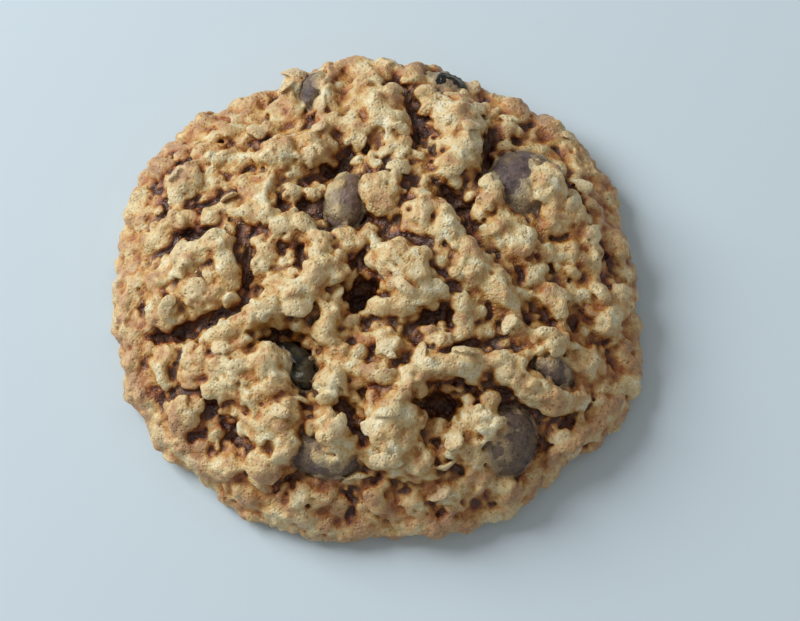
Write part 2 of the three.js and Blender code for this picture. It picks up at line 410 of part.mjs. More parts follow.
// ------------------------------------------------------------- dough surface
// Evens out the points over the steep sides of crags: each moves towards the
// middle of its neighbours, then straight back onto the dough's surface. The
// points of the base's edge stay on the table.
const SPREAD_ROUNDS = 6;
const SPREAD_SHARE = 0.45;
function spread(position, index, edge) {
  const count = position.length / 3;
  const ring = Array.from({ length: count }, () => new Set());
  for (let i = 0; i < index.length; i += 3)
    for (const [a, b] of [[0, 1], [1, 2], [2, 0]]) {
      ring[index[i + a]].add(index[i + b]);
      ring[index[i + b]].add(index[i + a]);
    }
  const e = 0.05;
  for (let round = 0; round < SPREAD_ROUNDS; round++) {
    const next = position.slice();
    for (let i = 0; i < count; i++) {
      const onTable = i >= edge;
      const [x, y, z] = position.slice(3 * i, 3 * i + 3);
      const near = allLumps.filter((l) => Math.hypot(l.c[0] - x, l.c[1] - y, l.c[2] - z) < l.reach + 3);
      const cuts = hollowsNear(x, y, 3);
      const at = (a, b, c) => doughDistance(near, cuts, a, b, c);
      const slope = (a, b, c) => {
        const g = [
          at(a + e, b, c) - at(a - e, b, c),
          at(a, b + e, c) - at(a, b - e, c),
          onTable ? 0 : at(a, b, c + e) - at(a, b, c - e),
        ];
        const size = Math.max(Math.hypot(...g), 1e-6);
        return { way: g.map((v) => v / size), size: size / (2 * e) };
      };
      const mates = [...ring[i]].filter((j) => !onTable || j >= edge);
      let move = [0, 1, 2].map((a) => mates.reduce((sum, j) => sum + position[3 * j + a], 0) / mates.length - position[3 * i + a]);
      const here = slope(x, y, z);
      const off = move.reduce((sum, v, a) => sum + v * here.way[a], 0);
      move = move.map((v, a) => (v - off * here.way[a]) * SPREAD_SHARE);
      if (onTable) move[2] = 0;
      let p = [x + move[0], y + move[1], z + move[2]];
      for (let step = 0; step < 2; step++) {
        const d = at(...p);
        const there = slope(...p);
        const back = clamp(d / Math.max(there.size, 0.5), -0.5, 0.5);
        p = p.map((v, a) => v - back * there.way[a]);
      }
      if (!onTable) p[2] = Math.max(p[2], 0.15);
      else p[2] = 0;
      for (let a = 0; a < 3; a++) next[3 * i + a] = p[a];
    }
    for (let i = 0; i < position.length; i++) position[i] = next[i];
  }
}

// Turns edges and shifts points so that the flat faces follow the crags and the
// crevices between them: what counts is how far the middles of the edges and
// faces lie from the dough's surface.
const SETTLE_ROUNDS = 5;
const SETTLE_STEP = 0.3; // the farthest that a point shifts in a round
const LEAST_HEIGHT = 0.3; // no face gets narrower than this
function settle(position, index, edge) {
  const count = position.length / 3;
  const at = (i) => [position[3 * i], position[3 * i + 1], position[3 * i + 2]];
  const middle = (...points) => [0, 1, 2].map((a) => points.reduce((sum, p) => sum + p[a], 0) / points.length);
  const minus = (p, q) => [p[0] - q[0], p[1] - q[1], p[2] - q[2]];
  const cross = (p, q) => [p[1] * q[2] - p[2] * q[1], p[2] * q[0] - p[0] * q[2], p[0] * q[1] - p[1] * q[0]];
  const dot = (p, q) => p[0] * q[0] + p[1] * q[1] + p[2] * q[2];
  const size = (p) => Math.hypot(p[0], p[1], p[2]);
  const height = (a, b, c) => size(cross(minus(b, a), minus(c, a))) / Math.max(size(minus(b, a)), size(minus(c, b)), size(minus(a, c)), 1e-6);
  const around = (p) => {
    const near = allLumps.filter((l) => Math.hypot(l.c[0] - p[0], l.c[1] - p[1], l.c[2] - p[2]) < l.reach + 4);
    const cuts = hollowsNear(p[0], p[1], 3);
    return (q) => doughDistance(near, cuts, q[0], q[1], q[2]);
  };
  const key = (a, b) => (a < b ? a * count + b : b * count + a);
  for (let round = 0; round < SETTLE_ROUNDS; round++) {
    // turn edges
    const sides = new Map();
    const valence = new Array(count).fill(0);
    for (let f = 0; f < index.length; f += 3)
      for (let k = 0; k < 3; k++) {
        const a = index[f + k], b = index[f + ((k + 1) % 3)];
        valence[a]++;
        if (!sides.has(key(a, b))) sides.set(key(a, b), []);
        sides.get(key(a, b)).push([f, a, b, index[f + ((k + 2) % 3)]]);
      }
    const busy = new Set();
    for (const pair of sides.values()) {
      if (pair.length !== 2) continue;
      const [[f, a, b, c], [g, , , d]] = pair;
      if (busy.has(f) || busy.has(g) || sides.has(key(c, d))) continue;
      if (valence[a] <= 4 || valence[b] <= 4 || valence[c] >= 8 || valence[d] >= 8) continue;
      const [pa, pb, pc, pd] = [a, b, c, d].map(at);
      const one = cross(minus(pd, pa), minus(pc, pa)); // face a, d, c
      const two = cross(minus(pc, pb), minus(pd, pb)); // face b, c, d
      const old = cross(minus(pb, pa), minus(pc, pa));
      if (dot(one, two) < 0.2 * size(one) * size(two) || dot(one, old) < 0 || dot(two, old) < 0) continue;
      if (Math.min(height(pa, pd, pc), height(pb, pc, pd)) < LEAST_HEIGHT) continue;
      const distance = around(middle(pa, pb, pc, pd));
      if (Math.abs(distance(middle(pc, pd))) > Math.abs(distance(middle(pa, pb))) - 0.02) continue;
      index[f] = a; index[f + 1] = d; index[f + 2] = c;
      index[g] = b; index[g + 1] = c; index[g + 2] = d;
      sides.set(key(c, d), []);
      valence[a]--; valence[b]--; valence[c]++; valence[d]++;
      busy.add(f).add(g);
      for (const h of [f, g])
        for (let k = 0; k < 3; k++) for (const [t] of sides.get(key(index[h + k], index[h + ((k + 1) % 3)])) ?? []) busy.add(t);
    }
    // shift points
    const faces = Array.from({ length: count }, () => []);
    for (let f = 0; f < index.length; f += 3)
      for (let k = 0; k < 3; k++) faces[index[f + k]].push([index[f + ((k + 1) % 3)], index[f + ((k + 2) % 3)]]);
    for (let i = 0; i < edge; i++) {
      const here = at(i);
      const distance = around(here);
      const e = 0.05;
      const out = [0, 1, 2].map((a) => distance(here.map((v, b) => v + (a === b ? e : 0))) - distance(here.map((v, b) => v - (a === b ? e : 0))));
      const steep = Math.max(size(out), 1e-6);
      const way = out.map((v) => v / steep);
      const cost = (p) => {
        let sum = 0;
        for (const [b, c] of faces[i]) {
          const pb = at(b), pc = at(c);
          const normal = cross(minus(pb, p), minus(pc, p));
          const area = size(normal);
          sum += Math.abs(distance(middle(p, pb, pc))) + Math.abs(distance(middle(p, pb)));
          const flat = LEAST_HEIGHT - area / Math.max(size(minus(pb, p)), size(minus(pc, pb)), size(minus(pc, p)), 1e-6);
          if (flat > 0) sum += 8 * flat;
          if (dot(normal, way) < 0) sum += 2;
        }
        return sum;
      };
      const side = cross(way, Math.abs(way[0]) < 0.8 ? [1, 0, 0] : [0, 1, 0]);
      const along = side.map((v) => v / size(side));
      const across = cross(way, along);
      let best = here, least = cost(here);
      const turn = random() * TAU;
      for (let k = 0; k < 6; k++) {
        const a = turn + (k * TAU) / 6;
        const far = SETTLE_STEP * (k % 2 ? 1 : 0.45);
        let p = here.map((v, j) => v + far * (Math.cos(a) * along[j] + Math.sin(a) * across[j]));
        for (let step = 0; step < 2; step++) {
          const back = clamp(distance(p) / Math.max(steep / (2 * e), 0.5), -0.6, 0.6);
          p = p.map((v, j) => v - back * way[j]);
        }
        p[2] = Math.max(p[2], 0.15);
        const c = cost(p);
        if (c < least - 1e-4) [best, least] = [p, c];
      }
      for (let a = 0; a < 3; a++) position[3 * i + a] = best[a];
    }
  }
}

function doughGeometry() {
  const position = [];
  const start = [];
  for (let k = 0; k <= RINGS; k++) {
    start.push(position.length / 3);
    for (let j = 0; j < Math.max(6 * k, 1); j++) {
      const angle = k ? (j / (6 * k)) * TAU : 0;
      const { point } = surfacePoint(k / RINGS, angle, allLumps);
      if (k === RINGS) point.z = 0;
      position.push(point.x, point.y, Math.max(point.z, k === RINGS ? 0 : 0.05));
    }
  }
  const index = [];
  for (let k = 1; k <= RINGS; k++) {
    const inner = Math.max(6 * (k - 1), 1);
    const outer = 6 * k;
    const a = start[k - 1];
    const b = start[k];
    for (let side = 0; side < 6; side++)
      for (let i = 0; i < k; i++) {
        const o = side * k + i;
        const n = side * (k - 1) + i;
        index.push(a + (n % inner), b + o, b + ((o + 1) % outer));
        if (i < k - 1) index.push(a + (n % inner), b + ((o + 1) % outer), a + ((n + 1) % inner));
      }
  }
  spread(position, index, start[RINGS]);
  settle(position, index, start[RINGS]);
  const middle = position.length / 3;
  position.push(0, MIDDLE_Y, 0);
  const edge = start[RINGS];
  for (let j = 0; j < 6 * RINGS; j++) index.push(middle, edge + ((j + 1) % (6 * RINGS)), edge + j);
  const geometry = new THREE.BufferGeometry();
  geometry.setAttribute("position", new THREE.Float32BufferAttribute(position, 3));
  geometry.setIndex(index);
  return geometry;
}

// ---------------------------------------------------------- chips and raisins
function bareSphere(detail) {
  const sphere = new THREE.IcosahedronGeometry(1, detail);
  sphere.deleteAttribute("normal");
  sphere.deleteAttribute("uv");
  return mergeVertices(sphere, 1e-5);
}

// A chip is a softened drop: round in plan, its underside flatter than its top.
function chipShape(v) {
  const side = Math.hypot(v.x, v.y);
  if (v.z < 0) v.z *= 0.8;
  else v.z = v.z ** (0.9 + 0.2 * side);
  return 1;
}

// A raisin is an oval with furrows that run along it and wander.
function raisinShape(v) {
  const turn = Math.atan2(v.z, v.y);
  const fade = 1 - Math.abs(v.x) ** 4;
  return (
    Math.sin(4 * turn + 3 * v.x) * 0.5 + Math.sin(7 * turn - 5 * v.x + 1) * 0.5 + 0.3 * Math.sin(9 * v.x + 2 * turn)
  ) * fade;
}

function pieceGeometry([x, y, length, width, thickness, turn, top], shape, furrow, detail, grow) {
  const { point, normal } = crownFrame(x, y);
  const l = lump(point, normal, length, width, thickness / 2, (turn * TAU) / 360, top);
  const geometry = bareSphere(detail);
  const p = geometry.attributes.position;
  const v = new THREE.Vector3();
  for (let i = 0; i < p.count; i++) {
    v.fromBufferAttribute(p, i);
    const depth = shape(v) * furrow;
    const reach = v.length();
    const out = l.r.map((r) => r + (furrow ? depth * 0.5 : 0) + grow);
    const local = [v.x * out[0], v.y * out[1], v.z * out[2]].map((q) => q / Math.max(reach, 1));
    p.setXYZ(i, ...[0, 1, 2].map((a) => l.c[a] + l.u[a] * local[0] + l.v[a] * local[1] + l.n[a] * local[2]));
  }
  return geometry;
}

// ------------------------------------------------------------ joins and cuts
const wasm = await Module();
wasm.setup();

function solid(geometry) {
  return new wasm.Manifold(
    new wasm.Mesh({
      numProp: 3,
      vertProperties: new Float32Array(geometry.attributes.position.array),
      triVerts: new Uint32Array(geometry.index.array),
    }),
  );
}

function geometryOf(manifold) {
  const mesh = manifold.getMesh();
  const geometry = new THREE.BufferGeometry();
  geometry.setAttribute("position", new THREE.Float32BufferAttribute(mesh.vertProperties, 3));
  geometry.setIndex(Array.from(mesh.triVerts));
  return geometry;
}

let dough = solid(doughGeometry());
const pieces = [];
const add = (list, shape, furrow) => {
  for (const [name, sizes] of Object.entries(list)) {
    const detail = furrow || sizes[2] > 10 ? 3 : 2; // sizes[2] is the length
    pieces.push([name, pieceGeometry(sizes, shape, furrow, detail, 0)]);
    dough = dough.subtract(solid(pieceGeometry(sizes, shape, furrow, detail, GAP)));
  }
};
add(CHIPS, chipShape, 0);
add(RAISINS, raisinShape, RAISIN_FURROW);
// loose scraps that a pocket cuts off are dropped
dough = dough.decompose().sort((a, b) => b.volume() - a.volume())[0];

// --------------------------------------------------------------- the cookie
const doughMaterial = new THREE.MeshStandardMaterial({ color: 0xc39459, roughness: 0.75, metalness: 0 });
const chipMaterial = new THREE.MeshStandardMaterial({ color: 0x5f4d4a, roughness: 0.55, metalness: 0 });
const raisinMaterial = new THREE.MeshStandardMaterial({ color: 0x2a211c, roughness: 0.4, metalness: 0 });

const cookie = new THREE.Group();
function piece(name, geometry, material) {
  const mesh = new THREE.Mesh(geometry, material);
  mesh.name = name;
  cookie.add(mesh);
}
piece("dough", geometryOf(dough), doughMaterial);
for (const [name, geometry] of pieces) piece(name, geometry, name.startsWith("raisin") ? raisinMaterial : chipMaterial);

// The middle of the footprint goes to the origin.
const box = new THREE.Box3().setFromObject(cookie);
const middle = box.getCenter(new THREE.Vector3());
for (const mesh of cookie.children) mesh.position.set(-middle.x, -middle.y, -box.min.z);
for (const mesh of cookie.children) mesh.geometry.computeVertexNormals();

export default cookie;
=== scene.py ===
"""Looks of the oatmeal cookie: fine dough relief, oat flakes, chips and raisins, light and camera."""

import math

import bpy
import numpy as np
import openvdb as vdb
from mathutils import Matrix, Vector


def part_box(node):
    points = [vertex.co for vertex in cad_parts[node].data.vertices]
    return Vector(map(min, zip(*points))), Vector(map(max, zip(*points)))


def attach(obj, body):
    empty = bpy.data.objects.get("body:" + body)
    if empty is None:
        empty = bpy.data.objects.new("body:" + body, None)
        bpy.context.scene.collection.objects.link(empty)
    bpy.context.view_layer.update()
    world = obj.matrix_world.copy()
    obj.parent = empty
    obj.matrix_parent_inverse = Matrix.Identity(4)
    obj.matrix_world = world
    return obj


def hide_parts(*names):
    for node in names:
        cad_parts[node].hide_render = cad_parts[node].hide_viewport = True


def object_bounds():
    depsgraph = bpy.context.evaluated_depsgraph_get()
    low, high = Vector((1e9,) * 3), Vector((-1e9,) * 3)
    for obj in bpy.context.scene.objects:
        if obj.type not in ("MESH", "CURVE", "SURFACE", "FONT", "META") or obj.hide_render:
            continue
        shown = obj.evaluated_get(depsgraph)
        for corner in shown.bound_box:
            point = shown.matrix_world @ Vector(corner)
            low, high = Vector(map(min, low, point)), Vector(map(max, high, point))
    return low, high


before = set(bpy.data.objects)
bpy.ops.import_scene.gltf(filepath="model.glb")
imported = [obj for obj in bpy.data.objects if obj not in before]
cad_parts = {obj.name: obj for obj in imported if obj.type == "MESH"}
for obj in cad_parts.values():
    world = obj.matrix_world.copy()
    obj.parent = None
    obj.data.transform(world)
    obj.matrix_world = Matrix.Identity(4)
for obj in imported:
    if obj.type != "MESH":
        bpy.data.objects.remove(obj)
cad_bounds = [list(corner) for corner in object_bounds()]

# ------------------------------------------------------------------ sizes (mm)
MM = 0.001
VOXEL = 0.24
PAD = 1.6  # free space in the grid round the solid
BAND = 6  # voxels on each side of a surface that hold its distance
MOST_TRIANGLES = 192_000
BOX_MARGIN = 0.01  # how far inside the solid's box every point stays
RNG = np.random.default_rng(73)

# The crags of the plain dough, before anything stands on them.
SWELL = 0.08  # they are let out by this much, so that they sit close
WARP, WARP_SIZE = 0.35, 1.8  # how far they are pushed about, and the size of the swells that do it
ROUNDING, RIM_ROUNDING = 0.45, 0.8  # how far their edges are softened
RIM_BEGINS, RIM_WHOLE = 0.86, 0.96  # as shares of the way from the middle to the outline
CREVICE, MOST_CREVICE = 0.1, 0.2  # share of their depth by which crevices are deepened, and the most in mm
BILLOWS = ((2.4, 0.4, 11), (1.1, 0.25, 12))  # size, height and seed of the swells on them
FILLING = 0.67  # lower fills the holes between crags further up with loose dough

# What stands on the crags.
RIPPLE, RIPPLE_SIZE = 0.28, 0.95
FINE_WARP, FINE_WARP_SIZE = 0.2, 0.8
GRAIN, GRAIN_SIZE = 0.17, 0.6
PORE_SPACING, PORE_SHARE, PORE_RADIUS = 1.5, 0.22, (0.22, 0.45)

# Oat flakes: half sizes, lean in radians, and how far out of the skin their middles lie.
FLAKE_SPACING, FLAKE_SHARE = 4.0, 0.42
FLAKE_LENGTH, FLAKE_WIDTH, FLAKE_THICKNESS = (1.6, 2.6), (1.1, 1.7), (0.36, 0.5)
FLAKE_CURL = (0.05, 0.16)
FLAT_LEAN, UPRIGHT_LEAN = (-0.25, 0.25), (0.5, 1.1)
FLAT_SHARE = 0.8
FLAKE_OUT = (0.1, 0.5)
RIM_HEIGHT = 7.0  # flakes below this height lean less and sit deeper
RIM_LEAN, RIM_SINK = 0.3, 0.35

CHIPS = [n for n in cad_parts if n.startswith("chocolate_chip")]
RAISINS = [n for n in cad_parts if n.startswith("raisin")]

# Films of dough over chips and raisins: the side they come from, in degrees from +X,
# and how far past the middle they start, in mm.
FILMS = {
    "chocolate_chip_north_east": (-15, -0.2),
    "chocolate_chip_south_east": (160, 0.2),
    "chocolate_chip_north": (140, -0.4),
    "chocolate_chip_north_west": (0, 0.4),
    "chocolate_chip_east": (110, -0.2),
    "chocolate_chip_south": (75, -0.4),
    "raisin_north": (240, -0.6),
}
FILM_SLOPE = 0.16  # how fast a film thickens
THINNEST_FILM, THICKEST_FILM = -0.5, 0.4  # below 0 the chip is bare

# --------------------------------------------------------------- voxel helpers
low, high = (np.array(c) / MM for c in cad_bounds)
ORIGIN = np.floor((low - PAD) / VOXEL).astype(int)
CORNER = tuple(int(v) for v in ORIGIN)
SHAPE = tuple((np.ceil((high + PAD) / VOXEL).astype(int) - ORIGIN + 1).tolist())
TRANSFORM = vdb.createLinearTransform(voxelSize=VOXEL)
AXES = [(ORIGIN[a] + np.arange(SHAPE[a])) * VOXEL for a in range(3)]


def mesh_arrays(obj):
    """Points in mm and triangles of a mesh object."""
    mesh = obj.data
    mesh.calc_loop_triangles()
    points = np.zeros(len(mesh.vertices) * 3, np.float32)
    mesh.vertices.foreach_get("co", points)
    triangles = np.zeros(len(mesh.loop_triangles) * 3, np.int32)
    mesh.loop_triangles.foreach_get("vertices", triangles)
    return points.reshape(-1, 3) / MM, triangles.reshape(-1, 3)


def distance_field(obj):
    """Signed distance to a mesh object on the shared grid, in mm, clipped to the band."""
    points, triangles = mesh_arrays(obj)
    grid = vdb.FloatGrid.createLevelSetFromPolygons(
        points.astype(np.float64), triangles=triangles.astype(np.uint32), transform=TRANSFORM, halfWidth=BAND
    )
    field = np.empty(SHAPE, np.float32)
    grid.copyToArray(field, ijk=CORNER)
    return field


def polygons(field):
    """Points in mm, triangles and quads of a field's surface."""
    grid = vdb.FloatGrid(BAND * VOXEL)
    grid.copyFromArray(field, ijk=CORNER)
    grid.transform = TRANSFORM
    return grid.convertToPolygons(0.0, 0.0)


def blur(field, radius):
    """Two box filters in a row along each axis, that far to each side in mm."""
    half = max(1, round(radius / VOXEL))
    width = 2 * half + 1
    out = field.astype(np.float32)
    for axis in range(3):
        n = out.shape[axis]
        for _ in range(2):
            first = np.repeat(out.take([0], axis), half + 1, axis)
            last = np.repeat(out.take([-1], axis), half, axis)
            total = np.cumsum(np.concatenate([first, out, last], axis), axis=axis, dtype=np.float32)
            out = (np.take(total, range(width, width + n), axis) - np.take(total, range(0, n), axis)) / width
            out = out.astype(np.float32)
    return out


def sample(field, points):
    """Value of a field at points in mm, linear between voxels."""
    q = np.clip(points / VOXEL - ORIGIN, 0, np.array(SHAPE) - 1.001)
    i = q.astype(int)
    f = (q - i).astype(np.float32)
    out = np.zeros(len(points), np.float32)
    for corner in np.ndindex(2, 2, 2):
        w = np.ones(len(points), np.float32)
        for a in range(3):
            w *= f[:, a] if corner[a] else 1 - f[:, a]
        out += w * field[i[:, 0] + corner[0], i[:, 1] + corner[1], i[:, 2] + corner[2]]
    return out


def normals_at(field, points, step=0.5):
    """Direction out of the surface at points in mm."""
    n = np.stack([sample(field, points + e) - sample(field, points - e) for e in np.eye(3) * step], axis=1)
    return n / np.maximum(np.linalg.norm(n, axis=1, keepdims=True), 1e-6)


def smooth_min(a, b, width):
    """The lesser of two fields, rounded where they cross."""
    h = np.maximum(width - np.abs(a - b), 0) / width
    return np.minimum(a, b) - h * h * width / 4


def smooth_max(a, b, width):
    """The greater of two fields, rounded where they cross."""
    return -smooth_min(-a, -b, width)


def smoothstep(lo, hi, v):
    """0 at lo, 1 at hi, with a soft rise between."""
    t = np.clip((v - lo) / (hi - lo), 0, 1)
    return t * t * (3 - 2 * t)


def noise(size, seed):
    """Seeded noise on the whole grid, near -1 to 1, with swells of about that size in mm."""
    cells = [int(n * VOXEL / size) + 5 for n in SHAPE]
    out = np.random.default_rng(seed).normal(size=cells).astype(np.float32)
    for a in (2, 1, 0):
        t = np.arange(SHAPE[a], dtype=np.float32) * np.float32(VOXEL / size)
        i = t.astype(int)
        f = (t - i).reshape([-1 if b == a else 1 for b in range(3)])
        spline = ((1 - f) ** 3, 3 * f**3 - 6 * f**2 + 4, 1 + 3 * f + 3 * f**2 - 3 * f**3, f**3)
        out = sum(share * out.take(i + k, a) for k, share in enumerate(spline))
    return out * np.float32(0.4 / out[::4, ::4, ::4].std())


def local_block(centre, reach):
    """Slices of the grid round a point, with the offsets of their voxels from it, in mm."""
    lo = np.clip(np.floor((centre - reach) / VOXEL).astype(int) - ORIGIN, 0, SHAPE)
    hi = np.clip(np.ceil((centre + reach) / VOXEL).astype(int) - ORIGIN + 1, 0, SHAPE)
    block = tuple(slice(lo[a], hi[a]) for a in range(3))
    axes = [AXES[a][block[a]] - centre[a] for a in range(3)]
    offsets = np.stack(np.meshgrid(*axes, indexing="ij"), axis=-1).astype(np.float32)
    return block, offsets


def lump_distance(offsets, turn, half, curl=0.0):
    """Distance to an ellipsoid with its own directions (rows of turn) and half sizes."""
    q = offsets @ turn.T.astype(np.float32)
    if curl:
        q[..., 2] += curl * (q[..., 0] ** 2 + 0.4 * q[..., 1] ** 2)
    q /= half
    k0 = np.sqrt((q * q).sum(-1))
    g = q / half
    k1 = np.sqrt((g * g).sum(-1))
    return k0 * (k0 - 1) / np.maximum(k1, 1e-6)


def directions(normal, spin, lean):
    """Rows along, across and out, with out leaning off the normal by an angle."""
    ref = np.array([1.0, 0, 0]) if abs(normal[0]) < 0.9 else np.array([0, 1.0, 0])
    along = ref - ref.dot(normal) * normal
    along /= np.linalg.norm(along)
    across = np.cross(normal, along)
    along, across = (
        math.cos(spin) * along + math.sin(spin) * across,
        -math.sin(spin) * along + math.cos(spin) * across,
    )
    out = math.cos(lean) * normal + math.sin(lean) * across
    return np.stack([along, np.cross(out, along), out])


def surface_points(field):
    """Points of the surface, in mm, in a seeded random order."""
    points = polygons(field)[0]
    return points[RNG.permutation(len(points))].astype(np.float64)


def spaced(points, spacing):
    """Places in the list of points that keep a distance to the ones kept before them."""
    enough = int(160_000 / spacing**2)  # points in random order that cover the whole dough
    points = points[:enough]
    taken, kept = {}, []
    cells = np.floor(points / spacing).astype(int)
    around = [(a, b, c) for a in (-1, 0, 1) for b in (-1, 0, 1) for c in (-1, 0, 1)]
    for k, (p, cell) in enumerate(zip(points, map(tuple, cells))):
        near = (taken.get((cell[0] + a, cell[1] + b, cell[2] + c)) for a, b, c in around)
        gaps = ((p[0] - q[0]) ** 2 + (p[1] - q[1]) ** 2 + (p[2] - q[2]) ** 2 for q in near if q is not None)
        if all(gap > spacing**2 for gap in gaps):
            taken[cell] = p
            kept.append(k)
    return np.array(kept)


def near_surface(field, reach):
    """Places in the grid that close to a surface, and their points in mm."""
    where = np.nonzero(np.abs(field) < reach)
    return where, np.stack([AXES[a][where[a]] for a in range(3)], axis=1).astype(np.float32)


def bend(field, amount, size, seed):
    """The field with its surface pushed about, sideways as well as in and out."""
    where, at = near_surface(field, BAND * VOXEL * 0.95)
    push = np.stack([noise(size, seed + a)[where] for a in range(3)], axis=1)
    out = field.copy()
    out[where] = sample(field, at + amount * push)
    return out


# --------------------------------------------------------------- crags of dough
plain = distance_field(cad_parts["dough"])
chips_field = np.full(SHAPE, BAND * VOXEL, np.float32)
for name in CHIPS + RAISINS:
    chips_field = np.minimum(chips_field, distance_field(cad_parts[name]))

# The crags bent out of true, rounder at the rim, with deeper crevices and swells on them.
bent = bend(plain, WARP, WARP_SIZE, 1)
way_out = np.sqrt((AXES[0][:, None] / high[0]) ** 2 + (AXES[1][None, :] / high[1]) ** 2)
edge = smoothstep(RIM_BEGINS, RIM_WHOLE, way_out).astype(np.float32)[:, :, None]
dough = blur(bent, ROUNDING) * (1 - edge) + blur(bent, RIM_ROUNDING) * edge
valley = np.maximum(dough - blur(dough, 1.2), 0) + np.maximum(dough - blur(dough, 2.4), 0)
dough += np.minimum(CREVICE * valley, MOST_CREVICE) - SWELL
for size, height, seed in BILLOWS:
    dough -= height * (1 - 0.5 * edge) * (np.abs(noise(size, seed)) - 0.3)

# Loose dough fills the bottom of the holes, where there is much dough around.
crowded = blur((dough < 0).astype(np.float32), 2.5)
dough = smooth_min(dough, 5.0 * (FILLING + 0.08 * noise(1.6, 6) - crowded), 0.3)

# ------------------------------------------------------------- knobs and flakes
points = surface_points(dough)
points = points[points[:, 2] > 0.9]
normals = normals_at(dough, points)
patches = sample(noise(6.0, 5), points)
lumpy = 0.4 + 0.8 * smoothstep(-0.35, 0.35, patches)  # some places are smooth, others full of knobs
walls = sample(crowded, points + 0.8 * normals)
sunken = smoothstep(0.36, 0.5, walls)  # 1 down in the crevices, 0 on the crags
floors = smoothstep(0.33, 0.42, walls) * smoothstep(0.6, 0.5, walls)  # where the space between crags is wide


def knobs(spacing, size, proud, blend, keep):
    """Round knobs, that far apart and that large across, standing out by a share of their half height."""
    kept = spaced(points, spacing)
    kept = kept[RNG.random(len(kept)) < keep[kept]]
    for k in kept:
        across = RNG.uniform(*size)
        half = across / 2 * np.array([1.0, RNG.uniform(0.6, 0.95), RNG.uniform(0.6, 0.9)])
        turn = directions(normals[k], RNG.uniform(0, math.tau), RNG.uniform(-0.6, 0.6))
        centre = points[k] + normals[k] * half[2] * (proud - 1)
        block, offsets = local_block(centre, half.max() + 0.4)
        dough[block] = smooth_min(dough[block], lump_distance(offsets, turn, half), blend)


knobs(spacing=2.6, size=(2.4, 3.8), proud=0.8, blend=0.25, keep=0.8 * floors)
knobs(spacing=3.2, size=(2.6, 4.4), proud=0.3, blend=0.5, keep=0.6 * lumpy)
knobs(spacing=1.9, size=(1.5, 2.7), proud=0.4, blend=0.3, keep=0.8 * lumpy)
knobs(spacing=1.2, size=(0.9, 1.7), proud=0.45, blend=0.2, keep=0.5 * lumpy)
knobs(spacing=1.4, size=(1.2, 2.4), proud=0.7, blend=0.15, keep=0.8 * sunken)  # loose crumbs in the crevices

# Oat flakes: thin curled ovals that lie in the dough's skin, a few of them half out of it.
flakes = np.full(SHAPE, BAND * VOXEL, np.float32)
flake_points = spaced(points, FLAKE_SPACING)
for k in flake_points[RNG.random(len(flake_points)) < FLAKE_SHARE]:
    half = np.array([RNG.uniform(*FLAKE_LENGTH), RNG.uniform(*FLAKE_WIDTH), RNG.uniform(*FLAKE_THICKNESS)])
    leans = [RNG.uniform(*FLAT_LEAN), RNG.uniform(*UPRIGHT_LEAN)]
    lean = RNG.choice(leans, p=[FLAT_SHARE, 1 - FLAT_SHARE])
    spin = RNG.uniform(0, math.tau)
    out_of_skin = RNG.uniform(*FLAKE_OUT)
    if points[k][2] < RIM_HEIGHT or abs(normals[k][2]) < 0.5:
        lean *= RIM_LEAN
        out_of_skin -= RIM_SINK
    turn = directions(normals[k], spin, lean)
    block, offsets = local_block(points[k] + normals[k] * out_of_skin, half.max() + 0.6)
    flakes[block] = np.minimum(flakes[block], lump_distance(offsets, turn, half, RNG.uniform(*FLAKE_CURL)))
dough -= RIPPLE * (np.abs(noise(RIPPLE_SIZE, 22)) - 0.3)
dough = smooth_min(dough, flakes, 0.12)
dough = bend(dough, FINE_WARP, FINE_WARP_SIZE, 21)

# ----------------------------------------------------- films, grain and pores
# Films of dough that thin out over one side of each chip and raisin, and an uneven lap round the rest.
where, at = near_surface(chips_field, BAND * VOXEL * 0.9)
coarse, fine = noise(1.5, 32)[where], noise(0.7, 33)[where]
lap = np.maximum(chips_field[where] - 0.2 - 0.2 * fine, plain[where] - 0.5 - 1.0 * coarse)
for node, (side, start) in FILMS.items():
    lo, hi = (np.array(c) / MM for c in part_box(node))
    centre = (lo + hi) / 2
    way = math.radians(side)
    across = (at - centre) @ np.array([math.cos(way), math.sin(way), 0.0])
    thick = FILM_SLOPE * (across - start) + 0.5 * coarse + 0.25 * fine
    thick = np.clip(thick, THINNEST_FILM, THICKEST_FILM)
    own = np.abs(at - centre).max(axis=1) < (hi - lo).max() / 2 + 1.5
    lap = np.where(own, smooth_min(lap, chips_field[where] - thick, 0.2), lap)
dough[where] = smooth_min(dough[where], lap, 0.3)

# Everything roughened, pricked with small pores, and flat on the table.
dough -= GRAIN * noise(GRAIN_SIZE, 45)
pores = surface_points(dough)
pores = pores[spaced(pores, PORE_SPACING)]
for centre in pores[RNG.random(len(pores)) < PORE_SHARE]:
    radius = RNG.uniform(*PORE_RADIUS)
    block, offsets = local_block(centre, radius + 0.4)
    dough[block] = smooth_max(dough[block], radius - np.sqrt((offsets**2).sum(-1)), 0.15)
dough = smooth_max(dough, (-AXES[2]).astype(np.float32)[None, None, :], 0.3)


